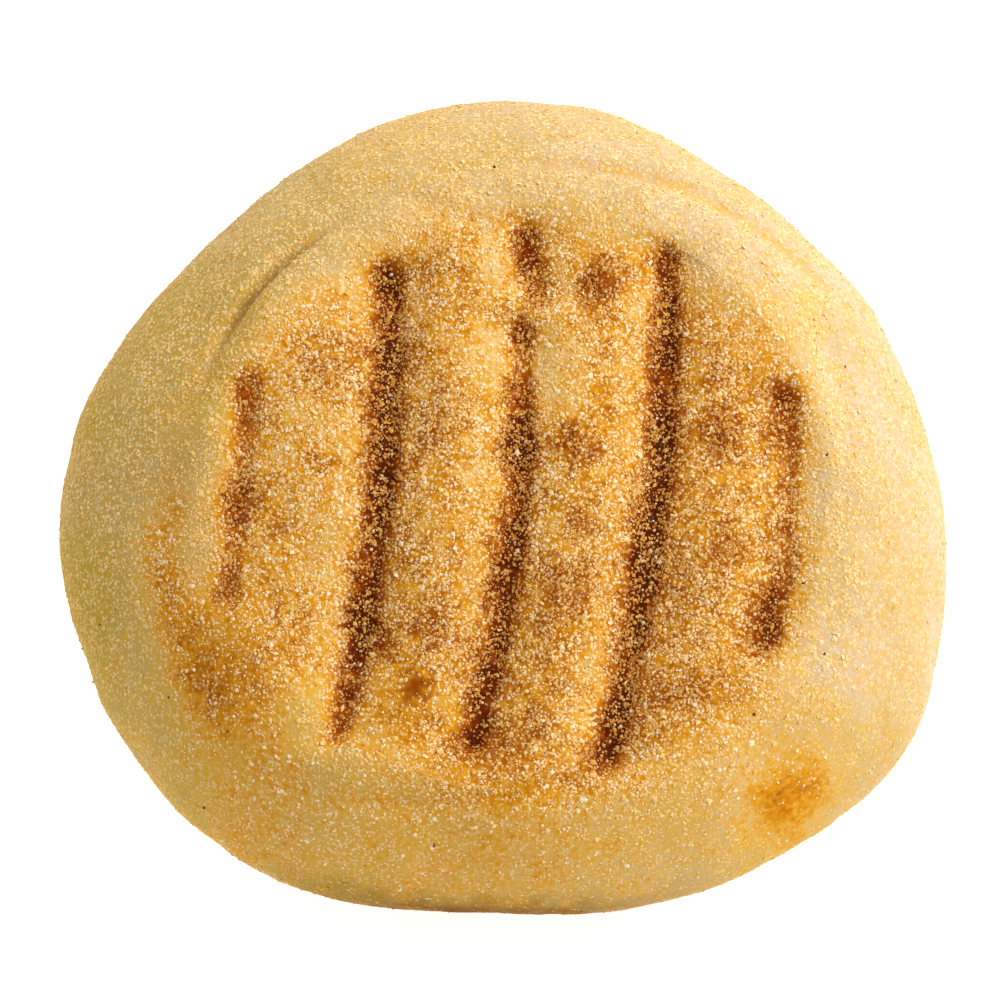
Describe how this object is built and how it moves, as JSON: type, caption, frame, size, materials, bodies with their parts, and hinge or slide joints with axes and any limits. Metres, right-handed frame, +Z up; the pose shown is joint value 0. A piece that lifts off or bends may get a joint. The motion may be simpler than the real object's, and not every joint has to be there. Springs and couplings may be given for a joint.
{
  "type": "english muffin",
  "caption": "Whole uncut english muffin: a soft, slightly uneven round with a flat toasted face, grill marks and a dusting of cornmeal. It lies flat on its underside.",
  "frame": {"origin": "on the underside, below the centre of the muffin's box", "axes": "+Z is up out of the toasted face, +X is across the grill marks, to the right in the picture, and +Y is along them, away from the picture's lower edge"},
  "size_m": [0.0936, 0.0872, 0.0312],
  "materials": {
    "crust": "soft toasted bread crust dusted with cornmeal"
  },
  "bodies": {
    "root": {"muffin": "crust"}
  },
  "joints": []
}
